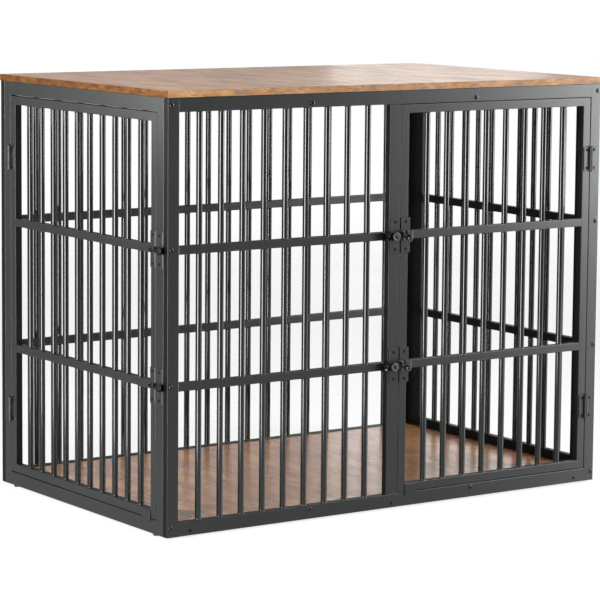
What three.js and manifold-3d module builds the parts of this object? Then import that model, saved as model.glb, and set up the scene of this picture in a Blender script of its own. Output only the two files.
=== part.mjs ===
// Furniture-style dog crate: a powder-coated steel cage of box tubes and round bars under a wooden top.
// Millimetres, +Z up, front towards -Y. The origin is at the centre of the crate's footprint, on the floor.
import * as THREE from 'three';
import { mergeVertices } from 'three/addons/utils/BufferGeometryUtils.js';
import Module from 'manifold-3d';

const wasm = await Module();
wasm.setup();

// ---- Driving dimensions ----
const LENGTH = 1050; // steel frame, left to right
const DEPTH = 645; // steel frame, front to back
const HEIGHT = 830; // steel frame, without feet
const TUBE = 15; // depth of every box tube, and so the thickness of every panel
const SKIN = 1.2; // wall of the open box tubes
const FIT = 0.3; // gap between touching pieces
const CORNER_POST = 25; // face width of the corner posts
const MID_POST = 27; // face width of the post beside the front door
const RAIL = 27; // face height of the top and bottom rails
const MID_RAIL = 16; // face height of the two rails across every panel
const LEAF_STILE = 18; // face width of a door leaf's upright tubes
const LEAF_RAIL = 17; // face height of a door leaf's top and bottom tubes
const DOOR_GAP = 1.5; // running gap all round a door leaf
const HEAD_GAP = { front: 1, side: 2 }; // gap above each door
const BAR_RADIUS = 6;
const BAR_SIDES = 8;
const ROD_SIDES = 12; // pins, knuckles and bolt rods
const WELD = 2; // how far a welded tube reaches into the one that it joins

const BOARD = 13; // wooden top
const OVERHANG = 1.5; // the top past the frame
const FLOOR_BOARD = 12;
const FLOOR_TOP = 25; // upper face of the floor board above the frame's base
const CROSSBAR = { width: 20, height: 11.5, fromCentre: 199 };
const FOOT = { drop: 4, radius: 6.5, inset: 50 };

const PLATE = 1.5; // sheet thickness of hinge leaves, latch plates and stop plates
const HINGE = { height: 49, reach: 17, knuckle: 4, pin: 1.5, bore: 1.9, stand: 4.6, low: 158, high: 676 };
const STOP = { width: 26, low: 20, high: 43 };
// Knuckles from the bottom up: post, door, post. Heights are from the hinge's centre.
const KNUCKLES = { post: [[-24.5, -12.5], [12.5, 24.5]], door: [[-12.1, 12.1]] };
// A latch's distances along the panel run from the centre of the door gap towards the door.
const LATCH = {
  plateHeight: 70,
  postPlate: [-25, -2],
  ear: [-2.2, 0.9], // the two ears beside the rod, at the barrel's end
  travel: 18,
  tip: 19,
  hook: 15.7,
  hookWidth: 3,
};
const FRONT_LATCH = {
  doorPlate: [1.5, 23],
  axis: 10.5, // bolt rod's centre line in front of the face
  rod: 3.5,
  bore: 3.9,
  barrel: [-46, -2],
  tail: -43, // the rod's hidden end
  barrelHalf: 8.5,
  barrelFront: 15,
  earHalf: 10,
  knob: -22.5,
  knobRadius: 9.3,
  knobFront: 20,
  recess: 4.5, // radius of the hollow in the knob's face
  neck: 2.6,
  hookTop: 10,
  hookBottom: -12.7,
  hookFront: 20.5,
  hookThick: 3,
};
const SIDE_LATCH = { // a flatter one, so that it stays clear of the crate's corner
  doorPlate: [1.5, 18.4],
  axis: 5.4,
  rod: 2,
  bore: 2.4,
  barrel: [-30, -16],
  tail: -28.6,
  barrelHalf: 6.5,
  barrelFront: 8.4,
  earHalf: 5,
  knob: -26,
  knobRadius: 8.5,
  knobFront: 11,
  recess: 4,
  neck: 1.6,
  hookTop: 4.5,
  hookBottom: -5.5,
  hookFront: 9.2,
  hookThick: 1.4,
};

// ---- Worked out from them ----
const OPEN_LOW = RAIL;
const OPEN_HIGH = HEIGHT - RAIL;
const MID_RAIL_Z = [1, 2].map((third) => OPEN_LOW + ((OPEN_HIGH - OPEN_LOW) * third) / 3);
const SIDE = DEPTH - 2 * (TUBE + FIT); // a side panel, between the front and back panels
const LEAF_LOW = OPEN_LOW + DOOR_GAP;
const MID_POST_LEFT = (LENGTH - MID_POST) / 2;
const MID_POST_RIGHT = (LENGTH + MID_POST) / 2;
// The latches stand this far out of the left side and the front.
const REACH = { left: SIDE_LATCH.knobFront, front: FRONT_LATCH.hookFront };

// ---- Materials ----
const steel = (shade) =>
  new THREE.MeshStandardMaterial({
    color: new THREE.Color(shade, shade, shade), roughness: 0.45, metalness: 0.5,
  });
const COAT = steel(0.05);
const BLACK = steel(0.025);
const WOOD = new THREE.MeshStandardMaterial({ color: 0xa8683a, roughness: 0.5, metalness: 0 });
const PLASTIC = new THREE.MeshStandardMaterial({ color: 0x151515, roughness: 0.7, metalness: 0 });

// ---- Solids ----
// Panel coordinates: u to the right as seen from outside, v inwards from the panel's outer face, z up.

function solidOf(geometry) {
  const bare = geometry.clone();
  bare.deleteAttribute('normal');
  bare.deleteAttribute('uv');
  const merged = mergeVertices(bare, 1e-4);
  const vertProperties = Float32Array.from(merged.attributes.position.array);
  const triVerts = Uint32Array.from(merged.index.array);
  return new wasm.Manifold(new wasm.Mesh({ numProp: 3, vertProperties, triVerts }));
}

function geometryOf(solid) {
  const mesh = solid.getMesh();
  const geometry = new THREE.BufferGeometry();
  geometry.setAttribute('position', new THREE.BufferAttribute(Float32Array.from(mesh.vertProperties), 3));
  geometry.setIndex(new THREE.BufferAttribute(Uint32Array.from(mesh.triVerts), 1));
  geometry.computeVertexNormals();
  return geometry;
}

function block(low, high) {
  const size = high.map((value, axis) => value - low[axis]);
  const geometry = new THREE.BoxGeometry(...size);
  geometry.translate(...low.map((value, axis) => value + size[axis] / 2));
  return geometry;
}

// A round bar between two points.
function rod(radius, from, to, sides) {
  const start = new THREE.Vector3(...from);
  const along = new THREE.Vector3(...to).sub(start);
  const geometry = new THREE.CylinderGeometry(radius, radius, along.length(), sides);
  geometry.rotateY(Math.PI / sides);
  geometry.translate(0, along.length() / 2, 0);
  const direction = along.clone().normalize();
  const turn = new THREE.Quaternion().setFromUnitVectors(new THREE.Vector3(0, 1, 0), direction);
  geometry.applyQuaternion(turn);
  geometry.translate(...from);
  return geometry;
}

const join = (geometries) => geometries.map(solidOf).reduce((whole, next) => whole.add(next));
const cut = (solid, geometries) => geometries.map(solidOf).reduce((left, hole) => left.subtract(hole), solid);

// An open-ended box tube that runs along one axis (0, 1 or 2).
function boxTube(low, high, axis) {
  const innerLow = low.map((value, i) => (i === axis ? value - 1 : value + SKIN));
  const innerHigh = high.map((value, i) => (i === axis ? value + 1 : value - SKIN));
  return geometryOf(cut(solidOf(block(low, high)), [block(innerLow, innerHigh)]));
}

// Evenly spaced upright bars and the two rails that they pass through, between u0 and u1.
function bars(u0, u1, low, high, count) {
  const pitch = (u1 - u0) / (count + 1);
  const centres = Array.from({ length: count }, (_, i) => u0 + pitch * (i + 1));
  return centres.map((u) => rod(BAR_RADIUS, [u, TUBE / 2, low], [u, TUBE / 2, high], BAR_SIDES));
}

function midRails(u0, u1) {
  return MID_RAIL_Z.map((z) => block([u0, 0, z - MID_RAIL / 2], [u1, TUBE, z + MID_RAIL / 2]));
}

function grille(u0, u1, count) {
  const [left, right] = [u0 + FIT, u1 - FIT];
  const upright = bars(u0, u1, OPEN_LOW + FIT, OPEN_HIGH - FIT, count);
  return geometryOf(join([...midRails(left, right), ...upright]));
}

// A welded leaf: its own rim of tubes, two rails and bars.
function leaf(u0, u1, low, high, count) {
  const [inLeft, inRight] = [u0 + LEAF_STILE, u1 - LEAF_STILE];
  const rim = [
    block([u0, 0, low], [inLeft, TUBE, high]),
    block([inRight, 0, low], [u1, TUBE, high]),
    block([inLeft - WELD, 0, low], [inRight + WELD, TUBE, low + LEAF_RAIL]),
    block([inLeft - WELD, 0, high - LEAF_RAIL], [inRight + WELD, TUBE, high]),
  ];
  const inner = bars(inLeft, inRight, low + LEAF_RAIL / 2, high - LEAF_RAIL / 2, count);
  return geometryOf(join([...rim, ...midRails(inLeft - WELD, inRight + WELD), ...inner]));
}

const post = (u0, u1) => boxTube([u0, 0, 0], [u1, TUBE, HEIGHT], 2);
const innerPost = (u0, u1) => boxTube([u0, 0, OPEN_LOW + FIT], [u1, TUBE, OPEN_HIGH - FIT], 2);
const bottomRail = (u0, u1) => boxTube([u0 + FIT, 0, 0], [u1 - FIT, TUBE, RAIL], 0);
const topRail = (u0, u1) => boxTube([u0 + FIT, 0, OPEN_HIGH], [u1 - FIT, TUBE, HEIGHT], 0);

// ---- Placing ----
const crate = new THREE.Group();
crate.position.set(-(LENGTH + OVERHANG - REACH.left) / 2, -(DEPTH + OVERHANG - REACH.front) / 2, FOOT.drop);

function add(parent, name, geometry, material = COAT) {
  const mesh = new THREE.Mesh(geometry, material);
  mesh.name = name;
  parent.add(mesh);
}

function panelGroup(x, y, quarterTurns) {
  const group = new THREE.Group();
  group.position.set(x, y, 0);
  group.rotation.z = (quarterTurns * Math.PI) / 2;
  crate.add(group);
  return group;
}

const front = panelGroup(0, 0, 0);
const right = panelGroup(LENGTH, TUBE + FIT, 1);
const back = panelGroup(LENGTH, DEPTH, 2);
const left = panelGroup(0, DEPTH - TUBE - FIT, -1);

function rim(group, side, width, postNames) {
  add(group, `${side}_${postNames[0]}_post`, post(0, CORNER_POST));
  add(group, `${side}_${postNames[1]}_post`, post(width - CORNER_POST, width));
  add(group, `${side}_top_rail`, topRail(CORNER_POST, width - CORNER_POST));
  add(group, `${side}_bottom_rail`, bottomRail(CORNER_POST, width - CORNER_POST));
}

// ---- Fixed panels ----
rim(front, 'front', LENGTH, ['left', 'right']);
add(front, 'front_middle_post', innerPost(MID_POST_LEFT, MID_POST_RIGHT));
add(front, 'front_fixed_grille', grille(CORNER_POST, MID_POST_LEFT, 9));

rim(back, 'back', LENGTH, ['right', 'left']);
add(back, 'back_grille', grille(CORNER_POST, LENGTH - CORNER_POST, 18));

rim(left, 'left_side', SIDE, ['rear', 'front']);

rim(right, 'right_side', SIDE, ['front', 'rear']);
const insertEdge = CORNER_POST + FIT;
add(right, 'right_side_insert', leaf(insertEdge, SIDE - insertEdge, OPEN_LOW + FIT, OPEN_HIGH - FIT, 10));

// ---- Wooden top, floor board and the bars that carry them ----
add(crate, 'top_board', block(
  [-OVERHANG, -OVERHANG, HEIGHT + FIT],
  [LENGTH + OVERHANG, DEPTH + OVERHANG, HEIGHT + FIT + BOARD],
), WOOD);
add(crate, 'floor_board', block(
  [TUBE + 2 * FIT, TUBE + 2 * FIT, FLOOR_TOP - FLOOR_BOARD],
  [LENGTH - TUBE - 2 * FIT, DEPTH - TUBE - 2 * FIT, FLOOR_TOP],
), WOOD);
for (const [name, sign] of [['left', -1], ['right', 1]]) {
  const x = LENGTH / 2 + sign * CROSSBAR.fromCentre;
  for (const [level, top] of [['floor', FLOOR_TOP - FLOOR_BOARD - FIT], ['top', HEIGHT]]) {
    add(crate, `${level}_crossbar_${name}`, boxTube(
      [x - CROSSBAR.width / 2, TUBE + FIT, top - CROSSBAR.height],
      [x + CROSSBAR.width / 2, DEPTH - TUBE - FIT, top],
      1,
    ));
  }
}

// ---- Feet ----
function foot() {
  const { drop, radius } = FOOT;
  const profile = [[0, -drop], [radius - 1, -drop], [radius, 1 - drop], [radius, -FIT], [0, -FIT]];
  const geometry = new THREE.LatheGeometry(profile.map(([r, z]) => new THREE.Vector2(r, z)), 20);
  geometry.rotateX(Math.PI / 2);
  return geometry;
}
for (const [column, x] of [['left', TUBE / 2], ['right', LENGTH - TUBE / 2]]) {
  for (const [row, y] of [['front', FOOT.inset], ['rear', DEPTH - FOOT.inset]]) {
    add(crate, `foot_${row}_${column}`, foot().translate(x, y, 0), PLASTIC);
  }
}

// ---- Door leaves ----
// toPost is the direction along u from the leaf's latch edge to the post that holds the latch.
const frontLeaf = { u0: MID_POST_RIGHT + DOOR_GAP, u1: LENGTH - CORNER_POST - DOOR_GAP, toPost: -1 };
const sideLeaf = { u0: CORNER_POST + DOOR_GAP, u1: SIDE - CORNER_POST - DOOR_GAP, toPost: 1 };
add(front, 'front_door_leaf', leaf(frontLeaf.u0, frontLeaf.u1, LEAF_LOW, OPEN_HIGH - HEAD_GAP.front, 8));
add(left, 'side_door_leaf', leaf(sideLeaf.u0, sideLeaf.u1, LEAF_LOW, OPEN_HIGH - HEAD_GAP.side, 10));

// A block given by distances along u from an origin, in a direction of +1 or -1.
function facing(origin, direction, along, vRange, zRange) {
  const us = along.map((distance) => origin + direction * distance).sort((a, b) => a - b);
  return block([us[0], vRange[0], zRange[0]], [us[1], vRange[1], zRange[1]]);
}

// ---- Stop plate: laps over the bottom rail, so the leaf can't swing inwards ----
const PLATE_V = [-FIT - PLATE, -FIT];
function stopPlate(door) {
  const edge = door.toPost < 0 ? door.u0 : door.u1;
  const start = LEAF_STILE;
  return facing(edge, -door.toPost, [start, start + STOP.width], PLATE_V, [STOP.low, STOP.high]);
}
add(front, 'front_door_stop_plate', stopPlate(frontLeaf));
add(left, 'side_door_stop_plate', stopPlate(sideLeaf));

// ---- Hinges ----
function hingeLeaf(u, z, direction, spans) {
  const clear = HINGE.knuckle - 0.5;
  const half = HINGE.height / 2;
  const solids = [facing(u, direction, [clear, HINGE.reach], PLATE_V, [z - half, z + half])];
  for (const [low, high] of spans) {
    const ends = [[u, -HINGE.stand, z + low], [u, -HINGE.stand, z + high]];
    solids.push(rod(HINGE.knuckle, ...ends, ROD_SIDES));
    solids.push(facing(u, direction, [0, clear + 1], PLATE_V, [z + low, z + high]));
  }
  const bore = rod(HINGE.bore, [u, -HINGE.stand, z - half - 1], [u, -HINGE.stand, z + half + 1], ROD_SIDES);
  return geometryOf(cut(join(solids), [bore]));
}

function hingePin(u, z) {
  const [end, head] = [HINGE.height / 2 + FIT, HINGE.height / 2 + 1.5];
  const radius = HINGE.pin;
  const cap = HINGE.knuckle - 1;
  const lower = [[0, -head], [cap, -head], [cap, -end], [radius, -end]];
  const upper = lower.map(([r, h]) => [r, -h]).reverse();
  const profile = [...lower, ...upper];
  const geometry = new THREE.LatheGeometry(profile.map(([r, h]) => new THREE.Vector2(r, h)), ROD_SIDES);
  geometry.rotateX(Math.PI / 2);
  return geometry.translate(u, -HINGE.stand, z);
}

function hinges(group, prefix, door) {
  const u = door.toPost < 0 ? door.u1 + DOOR_GAP / 2 : door.u0 - DOOR_GAP / 2;
  for (const level of ['low', 'high']) {
    const name = `${prefix}_${level === 'low' ? 'lower' : 'upper'}_hinge`;
    add(group, `${name}_post_leaf`, hingeLeaf(u, HINGE[level], -door.toPost, KNUCKLES.post), BLACK);
    add(group, `${name}_door_leaf`, hingeLeaf(u, HINGE[level], door.toPost, KNUCKLES.door), BLACK);
    add(group, `${name}_pin`, hingePin(u, HINGE[level]), BLACK);
  }
}
hinges(front, 'front', frontLeaf);
hinges(left, 'side', sideLeaf);

// ---- Latches ----
function latchAt(group, name, door, z, size) {
  const gap = door.toPost < 0 ? door.u0 - DOOR_GAP / 2 : door.u1 + DOOR_GAP / 2;
  const inward = -door.toPost;
  const at = (distance, v, dz) => [gap + inward * distance, v, z + dz];
  const part = (along, vRange, zRange) => facing(gap, inward, along, vRange, zRange.map((dz) => z + dz));
  const plateZ = [-LATCH.plateHeight / 2, LATCH.plateHeight / 2];
  const barrelV = [-size.barrelFront, -FIT - 0.5];
  const [barrelStart, barrelEnd] = size.barrel;

  // Barrel and ears on their plate, with a through bore and a slot that the knob's neck slides in.
  const barrel = join([
    part(LATCH.postPlate, PLATE_V, plateZ),
    part([barrelStart, barrelEnd], barrelV, [-size.barrelHalf, size.barrelHalf]),
    part(LATCH.ear, barrelV, [size.rod - 1, size.earHalf]),
    part(LATCH.ear, barrelV, [-size.earHalf, 1 - size.rod]),
  ]);
  const slotHalf = size.neck + 0.5;
  const slot = part(
    [size.knob - LATCH.travel - slotHalf, size.knob + slotHalf],
    [-size.barrelFront - 1, -size.axis],
    [-slotHalf, slotHalf],
  );
  const boreEnds = [barrelStart - 1, LATCH.ear[1] + 1].map((distance) => at(distance, -size.axis, 0));
  const bore = rod(size.bore, ...boreEnds, ROD_SIDES);
  add(group, `${name}_latch_barrel`, geometryOf(cut(barrel, [bore, slot])), BLACK);

  // Sliding bolt: rod, neck and knob in one.
  const knobBack = size.barrelFront + 0.5;
  const knobAt = (v) => at(size.knob, -v, 0);
  const bolt = join([
    rod(size.rod, at(size.tail, -size.axis, 0), at(LATCH.tip, -size.axis, 0), ROD_SIDES),
    rod(size.neck, knobAt(size.axis), knobAt(knobBack + 1), ROD_SIDES),
    rod(size.knobRadius, knobAt(knobBack), knobAt(size.knobFront), 16),
  ]);
  const recess = rod(size.recess, knobAt(size.knobFront - 1), knobAt(size.knobFront + 1), ROD_SIDES);
  add(group, `${name}_latch_bolt`, geometryOf(cut(bolt, [recess])), BLACK);

  // Keeper on the door: a plate and a hook, open at the top, that holds the rod's end.
  const { hookTop, hookBottom, hookFront, hookThick } = size;
  const hookBack = FIT + PLATE - 0.2;
  const round = (hookFront - hookBack) / 2;
  const hook = new THREE.Shape();
  hook.moveTo(-hookBack, hookTop);
  hook.lineTo(-hookBack, hookBottom + round);
  hook.absarc(-hookBack - round, hookBottom + round, round, 0, -Math.PI, true);
  hook.lineTo(-hookFront, hookTop);
  hook.lineTo(-hookFront + hookThick, hookTop);
  hook.lineTo(-hookFront + hookThick, hookBottom + round);
  hook.absarc(-hookBack - round, hookBottom + round, round - hookThick, -Math.PI, 0, false);
  hook.lineTo(-hookBack - hookThick, hookTop);
  const depth = LATCH.hookWidth;
  const strip = new THREE.ExtrudeGeometry(hook, { depth, bevelEnabled: false, curveSegments: 6 });
  // The outline's first axis is v and its second is z, and it is pushed out along u.
  strip.applyMatrix4(new THREE.Matrix4().set(0, 0, 1, 0, 1, 0, 0, 0, 0, 1, 0, 0, 0, 0, 0, 1));
  strip.translate(gap + inward * LATCH.hook - LATCH.hookWidth / 2, 0, z);
  const keeper = join([part(size.doorPlate, PLATE_V, plateZ), strip]);
  add(group, `${name}_latch_keeper`, geometryOf(keeper), BLACK);
}

MID_RAIL_Z.forEach((z, i) => {
  const level = ['lower', 'upper'][i];
  latchAt(front, `front_${level}`, frontLeaf, z, FRONT_LATCH);
  latchAt(left, `side_${level}`, sideLeaf, z, SIDE_LATCH);
});

export default crate;
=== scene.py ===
"""A furniture-style dog crate: rounded steel tubes, round bars, hinges, latches and laminated boards,
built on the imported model, with a pale studio floor and soft lights."""
import math

import bmesh
import bpy
from mathutils import Matrix, Vector

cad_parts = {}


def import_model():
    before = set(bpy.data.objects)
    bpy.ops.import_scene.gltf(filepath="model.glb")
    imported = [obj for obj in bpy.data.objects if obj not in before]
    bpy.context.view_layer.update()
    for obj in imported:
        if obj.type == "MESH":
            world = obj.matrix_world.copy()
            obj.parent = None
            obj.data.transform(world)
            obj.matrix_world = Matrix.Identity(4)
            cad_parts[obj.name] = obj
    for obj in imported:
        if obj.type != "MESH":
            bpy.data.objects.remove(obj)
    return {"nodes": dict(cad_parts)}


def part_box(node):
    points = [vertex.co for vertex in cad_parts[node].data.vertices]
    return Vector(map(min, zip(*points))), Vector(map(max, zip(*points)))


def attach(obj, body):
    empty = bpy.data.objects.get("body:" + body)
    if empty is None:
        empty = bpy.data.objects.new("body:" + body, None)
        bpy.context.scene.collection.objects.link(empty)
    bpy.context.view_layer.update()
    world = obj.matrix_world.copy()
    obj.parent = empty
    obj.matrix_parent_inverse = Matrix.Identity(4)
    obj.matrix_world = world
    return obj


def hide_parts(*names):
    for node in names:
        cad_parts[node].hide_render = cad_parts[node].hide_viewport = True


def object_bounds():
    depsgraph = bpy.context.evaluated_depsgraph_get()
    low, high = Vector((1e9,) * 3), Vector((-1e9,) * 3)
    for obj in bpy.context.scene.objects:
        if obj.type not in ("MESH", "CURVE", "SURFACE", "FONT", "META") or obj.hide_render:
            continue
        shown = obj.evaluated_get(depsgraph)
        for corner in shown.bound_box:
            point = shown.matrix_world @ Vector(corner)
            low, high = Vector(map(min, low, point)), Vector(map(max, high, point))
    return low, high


MM = 0.001
TINY = 1e-6
SMOOTH_ANGLE = math.radians(38)  # edges sharper than this stay sharp
X, Y, Z = Vector((1, 0, 0)), Vector((0, 1, 0)), Vector((0, 0, 1))
OUTWARD = {"front": -Y, "back": Y, "left": -X, "right": X}

# ---- Sizes, in metres ----
FIT = 0.3 * MM  # gap between touching pieces
TUBE = 15 * MM  # depth of the panels, and of the tubes in them
SKIN = 1.2 * MM  # wall of a box tube
TUBE_EDGE = 0.9 * MM  # outer radius of a box tube's corners
WELD_REACH = 1.1 * MM  # how far a rail's end goes over the rounded edge of the tube that it is welded to
CUT_EDGE = 0.3 * MM  # broken edge of cut tubes and plates
EDGE_ON = 0.35  # faces whose normal leans outwards less than this look into the openings, and get the darker coat that paints shade on them
KNOB_FRONT = 0.5  # faces of a knob whose normal leans outwards less than this are black, painted shade round the knob
PLATE_EDGE = 0.5 * MM  # rolled edge of the hinge and latch plates
BAR_RADIUS = 6 * MM
WELD_FILLET = 1.3 * MM
SINK = 0.4 * MM  # how far a bar's end goes into its tube
LATHE_LEAST = 0.02 * MM  # least radius of a turned shape, so that its tip stays a face
LEAF_STILE = 18 * MM  # widths of the tubes in a leaf, seen from outside
LEAF_RAIL = 17 * MM
MID_RAIL = 16 * MM
DOOR_GAP = 1.5 * MM
PLATE = 1.5 * MM  # thickness of the hinge, latch and stop plates
HINGE = {
    "knuckle": 3.5 * MM, "bore": 1.9 * MM, "pin": 1.5 * MM, "reach": 17 * MM,
    "screw_out": 9.3 * MM, "screw_up": 18.7 * MM,
}
KNUCKLES = {"post": ((-24.5, -12.5), (12.5, 24.5)), "door": ((-12.1, 12.1),)}  # mm from the hinge's centre
KNUCKLE_EDGE = 0.4 * MM
LEAF_TUCK = 0.5 * MM  # how far a hinge's plate starts inside its knuckles' radius
HOOK_WIDTH = 3 * MM
HOOK_SINK = 0.2  # mm that the hook's back goes into its plate
EAR = (-2.2 * MM, 0.9 * MM)  # start and end of the barrel's ears, along the rod

# Latches, in millimetres. Along the rod they count from the centre of the door gap, positive towards the
# door. The rod's axis and the names with "front" count outwards from the panel's face.
LATCH = {"post_plate": (-25, -2), "half_plate": 35, "tip": 19, "travel": 18, "hook": 15.7, "screw_up": 27}
FRONT_LATCH = {
    "door_plate": (1.5, 23), "axis": 10.5, "rod": 3.5, "bore": 3.9, "tail": -43,
    "barrel": (-46, -2), "barrel_half": 8.5, "barrel_front": 15, "ear_half": 10,
    "knob": -22.5, "knob_radius": 9.3, "knob_front": 20, "recess": 4.5, "neck": 2.6,
    "hook_top": 10, "hook_bottom": -12.7, "hook_front": 20.5, "hook_thick": 3,
}
SIDE_LATCH = {
    "door_plate": (1.5, 18.4), "axis": 5.4, "rod": 2, "bore": 2.4, "tail": -28.6,
    "barrel": (-30, -16), "barrel_half": 6.5, "barrel_front": 8.4, "ear_half": 5,
    "knob": -26, "knob_radius": 8.5, "knob_front": 11, "recess": 4, "neck": 1.6,
    "hook_top": 4.5, "hook_bottom": -5.5, "hook_front": 9.2, "hook_thick": 1.4,
}
NECK_PLAY = 0.5  # mm on each side of the knob's neck in its slot
KNOB_PLAY = 0.5  # mm between the housing and the back of the knob
HOUSING_BACK = FIT / MM + 0.5  # mm from the panel's face to the back of the barrel's housing
HOUSING_EDGE = 0.4  # mm, broken edge at the housing's ends
HOUSING_CORNER = 0.9  # mm taken off at the housing's two front corners
HOUSING_CORNER_SPREAD = 0.5  # radians to each side of such a corner
EAR_BACK = 0.8  # mm from the panel's face to the back of an ear
EAR_REACH = 0.6  # mm from the edge of the bore towards the axis, where an ear begins

# ---- Bolts and screws of the front and back panels, in metres ----
POST_BOLT_LOW = 19 * MM  # above the frame's bottom
POST_BOLT_HIGH = 14 * MM  # below the frame's top
POST_BOLT_LIFT = 1.5 * MM  # of the two middle bolts, above the mid rails
CROSS_BOLT_LOW = 20 * MM
CROSS_BOLT_HIGH = 19 * MM
FLOOR_SCREW_Z = 9 * MM
FLOOR_SCREW_LEFT = 52 * MM  # from the panel's left and right edges
FLOOR_SCREW_RIGHT = 53 * MM

# ---- Boards ----
BAND = 0.8 * MM  # edge band's thickness
BAND_GAP = 0.2 * MM  # between the board and its edge band

# ---- Feet: (share of the radius, share of the height) ----
GLIDE_PROFILE = (
    (0.3, 0), (0.74, 0), (0.88, 0.06), (0.97, 0.2), (1, 0.4), (1, 0.72), (0.9, 0.76), (0.9, 1),
)

# ---- Studio, in metres ----
FLOOR_RADIUS = 6.0
FLOOR_DROP = 0.2 * MM
LIGHT_TARGET = Vector((0, 0, 0.45))
BACK_LIGHT_DIRECTION = Vector((0.45, 0.89, 0.0))
SOFTBOXES = (  # name, azimuth and elevation in degrees, distance, width and height in metres, radiance
    ("right_softbox", 54, 21, 2.6, 0.95, 2.2, 15.5),
    ("low_right_fill", 60, -10, 2.2, 1.2, 1.1, 2.6),
    ("left_softbox", -65, 8, 2.2, 0.75, 1.9, 23),
    ("back_left_softbox", -118, 20, 1.9, 0.8, 0.95, 5.8),
    ("back_right_strip", 137.8, 12, 3.4, 0.7, 2.2, 0.76),
    ("overhead_softbox", 20, 80, 3.2, 3.0, 2.2, 1.2),
)
RANGE_SOCKETS = ("From Min", "From Max", "To Min", "To Max")

# ---- Camera ----
CAMERA_PLACE = Vector((-3.2299, -4.6655, 1.1547))
CAMERA_HEADING = math.radians(34.654)  # from the direction that faces the front, towards the right
CAMERA_DIP = math.radians(6.614)
CAMERA_ROLL = math.radians(0.486)
CAMERA_LENS = 166.3  # mm, on a sensor of 36 mm
CAMERA_SHIFT = -0.09

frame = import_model()
cad_low, cad_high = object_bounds()


# ---- Mesh tools ----
def rounded_outline(width, height, radius, steps=4):
    """Points of a rectangle with round corners, about its centre."""
    radius = max(radius, TINY)
    points = []
    for quarter in range(4):
        angle = quarter * math.pi / 2
        middle = Matrix.Rotation(angle, 2) @ Vector((1, 1))
        centre = Vector((middle.x * (width / 2 - radius), middle.y * (height / 2 - radius)))
        for step in range(steps + 1):
            turn = angle + step * math.pi / 2 / steps
            points.append((centre.x + radius * math.cos(turn), centre.y + radius * math.sin(turn)))
    return points


def circle(radius, sides):
    """Points of a regular outline, about its centre."""
    turns = [2 * math.pi * i / sides for i in range(sides)]
    return [(radius * math.cos(turn), radius * math.sin(turn)) for turn in turns]


def frame_of(origin, x, y, z):
    """Matrix whose columns are three directions and an origin."""
    columns = [Vector(x).to_4d(), Vector(y).to_4d(), Vector(z).to_4d(), Vector(origin).to_4d()]
    for column in columns[:3]:
        column.w = 0
    return Matrix(columns).transposed()


def ring(place, outline, height=0.0):
    """An outline set into a place, at a height along its z axis."""
    return [place @ Vector((x, y, height)) for x, y in outline]


def skin(bm, loops):
    """Faces between neighbouring loops of equally many vertices."""
    for a, b in zip(loops, loops[1:]):
        for i in range(len(a)):
            j = (i + 1) % len(a)
            bm.faces.new((a[i], a[j], b[j], b[i]))


def loft(bm, rings, closed=False):
    """Skin over rings of equally many points, with a cap at each end unless it closes on itself."""
    loops = [[bm.verts.new(point) for point in points] for points in rings]
    if closed:
        skin(bm, [*loops, loops[0]])
        return
    skin(bm, loops)
    bm.faces.new(list(reversed(loops[0])))
    bm.faces.new(loops[-1])


def lathe(bm, place, profile, sides):
    """Solid of revolution about the place's z axis, from a profile of (radius, height)."""
    loft(bm, [ring(place, circle(max(radius, LATHE_LEAST), sides), height) for radius, height in profile])


def plate(bm, place, width, height, thickness, radius, edge=CUT_EDGE):
    """A flat plate with round corners and broken edges, from height 0 to its thickness."""
    levels = ((edge, 0), (0, edge), (0, thickness - edge), (edge, thickness))
    loft(bm, [
        ring(place, rounded_outline(width - 2 * inset, height - 2 * inset, radius - inset, 5), level)
        for inset, level in levels
    ])


def screw_head(bm, place, radius, height, hole, depth):
    """A domed head with a recess of the given outline, standing on the place's xy plane."""
    dome = ((1, -0.1), (1, 0.3), (0.95, 0.62), (0.84, 0.86), (0.68, 1))
    rings = [ring(place, circle(radius * share, 24), height * level) for share, level in dome]
    loops = [[bm.verts.new(point) for point in points] for points in rings]
    bm.faces.new(list(reversed(loops[0])))
    skin(bm, loops)
    top = [bm.verts.new(point) for point in ring(place, hole, height)]
    floor = [bm.verts.new(point) for point in ring(place, hole, height - depth)]
    edges = [bm.edges.get((loops[-1][i - 1], loops[-1][i])) for i in range(len(loops[-1]))]
    edges += [bm.edges.new((top[i - 1], top[i])) for i in range(len(top))]
    bmesh.ops.triangle_fill(bm, edges=edges, use_beauty=True)
    for i in range(len(top)):
        bm.faces.new((top[i - 1], top[i], floor[i], floor[i - 1]))
    bm.faces.new(floor)


def cross_hole(reach, half):
    """Outline of a cross recess."""
    corner = [(half, -half), (reach, -half), (reach, half)]
    points = []
    for quarter in range(4):
        turn = Matrix.Rotation(quarter * math.pi / 2, 2)
        points += [tuple(turn @ Vector(point)) for point in corner]
    return points


def wood_screw(bm, place):
    """A small screw with a cross recess."""
    hole = cross_hole(reach=1.8 * MM, half=0.45 * MM)
    screw_head(bm, place, radius=3 * MM, height=1.1 * MM, hole=hole, depth=0.7 * MM)


def panel_bolt(bm, place):
    """A bolt with a hexagon socket."""
    hole = circle(2.1 * MM, sides=6)
    screw_head(bm, place, radius=4.6 * MM, height=2.4 * MM, hole=hole, depth=1.7 * MM)


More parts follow.
